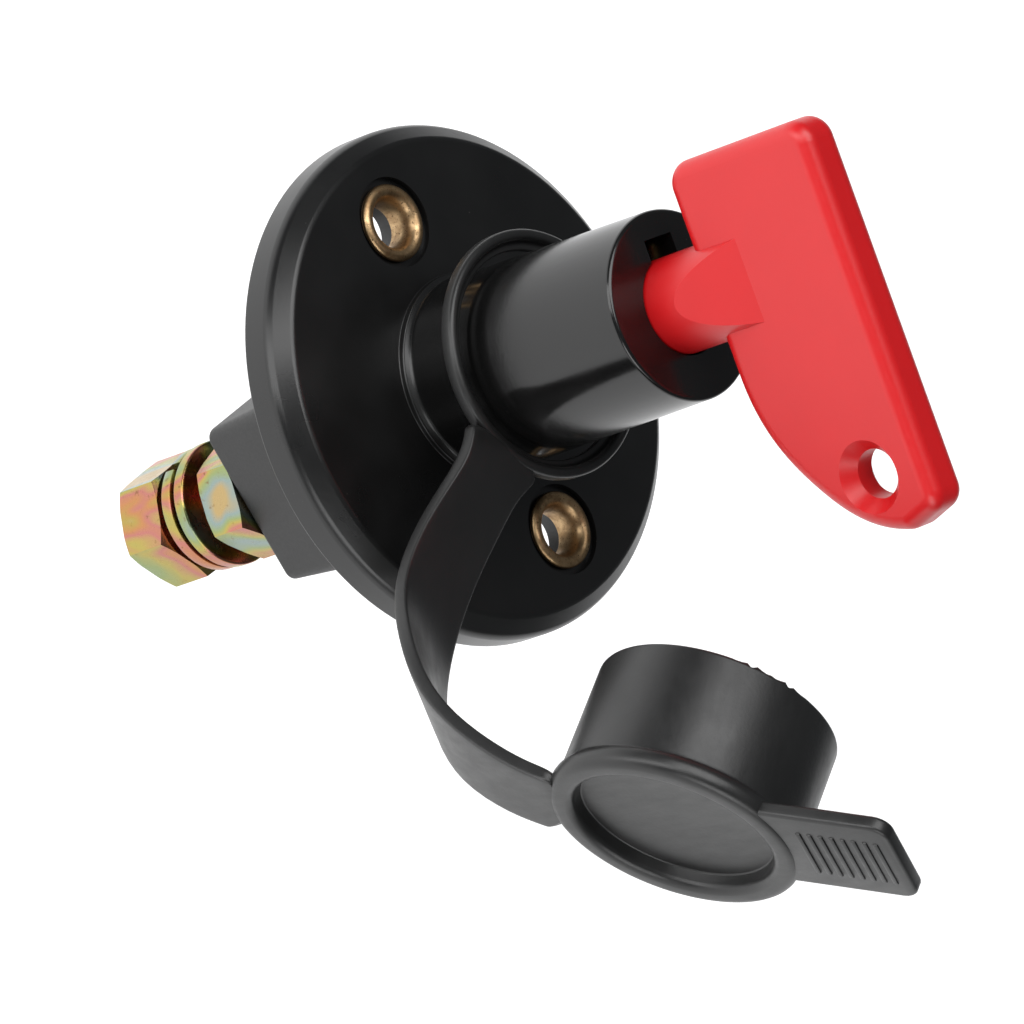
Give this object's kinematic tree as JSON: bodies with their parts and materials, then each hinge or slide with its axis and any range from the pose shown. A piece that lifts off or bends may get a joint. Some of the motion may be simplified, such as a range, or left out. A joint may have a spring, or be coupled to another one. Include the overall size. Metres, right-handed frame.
{
  "type": "battery switch",
  "caption": "Round-flange battery isolator with a barrel, removable turn key, tethered soft dust cap and two threaded terminal studs.",
  "frame": {"origin": "centre of the flange's mounting face, on the switch axis, midway between the two fixing holes", "axes": "+Z along the switch axis, out of the panel towards the key; the dust cap's strap leaves the collar on the -Y side"},
  "size_m": [0.075, 0.1227, 0.1356],
  "materials": {
    "black_housing": "black moulded glass-filled nylon, satin to glossy",
    "eyelet_brass": "rolled brass eyelet, lightly tarnished",
    "stud_copper": "copper-plated threaded stud",
    "yellow_zinc": "yellow-passivated zinc plate with iridescence",
    "contact_copper": "rolled copper",
    "spring_steel": "drawn spring steel wire",
    "white_acetal": "turned acetal",
    "red_key": "red moulded ABS",
    "soft_black": "soft black PVC"
  },
  "bodies": {
    "housing": {"front_housing": "black_housing", "rear_base": "black_housing", "fixing_eyelets": "eyelet_brass", "return_spring": "spring_steel", "lower_stud": "stud_copper", "lower_base_nut": "yellow_zinc", "lower_flat_washer": "yellow_zinc", "lower_spring_washer": "yellow_zinc", "lower_terminal_nut": "yellow_zinc", "upper_stud": "stud_copper", "upper_base_nut": "yellow_zinc", "upper_flat_washer": "yellow_zinc", "upper_spring_washer": "yellow_zinc", "upper_terminal_nut": "yellow_zinc"},
    "carriage": {"contact_carrier": "white_acetal", "contact_bridge": "contact_copper", "carrier_clip": "spring_steel", "pressure_spring": "spring_steel"},
    "key_drive": {"key_socket": "white_acetal"},
    "key": {"key_body": "red_key", "key_cross_pin": "red_key"},
    "collar": {"cap_collar": "soft_black", "strap_root_half": "soft_black"},
    "cap": {"strap_cap_half": "soft_black", "dust_cap": "soft_black"}
  },
  "joints": [
    {"name": "contact_travel", "type": "slide", "parent": "housing", "child": "carriage", "axis": [0, 0, -1], "range_m": [0, 0.004], "deforming": ["return_spring"]},
    {"name": "key_turn", "type": "hinge", "parent": "carriage", "child": "key_drive", "pos_m": [0, 0, 0.03], "axis": [0, 0, -1], "range_deg": [0, 90]},
    {"name": "key_pull", "type": "slide", "parent": "key_drive", "child": "key", "axis": [0, 0, 1], "range_m": [0, 0.04]},
    {"name": "cap_swivel", "type": "hinge", "parent": "housing", "child": "collar", "pos_m": [0, 0, 0.02], "axis": [0, 0, 1], "continuous": true},
    {"name": "strap_flex", "type": "hinge", "parent": "collar", "child": "cap", "pos_m": [-0.0092, -0.0475, 0.0172], "axis": [0.9565, -0.1653, -0.2404], "range_deg": [-15, 35], "stiffness_Nm_per_rad": 0.3}
  ],
  "couplings": [
    {"joint": "contact_travel", "follows": "key_turn", "m_per_rad": 0.00254}
  ]
}
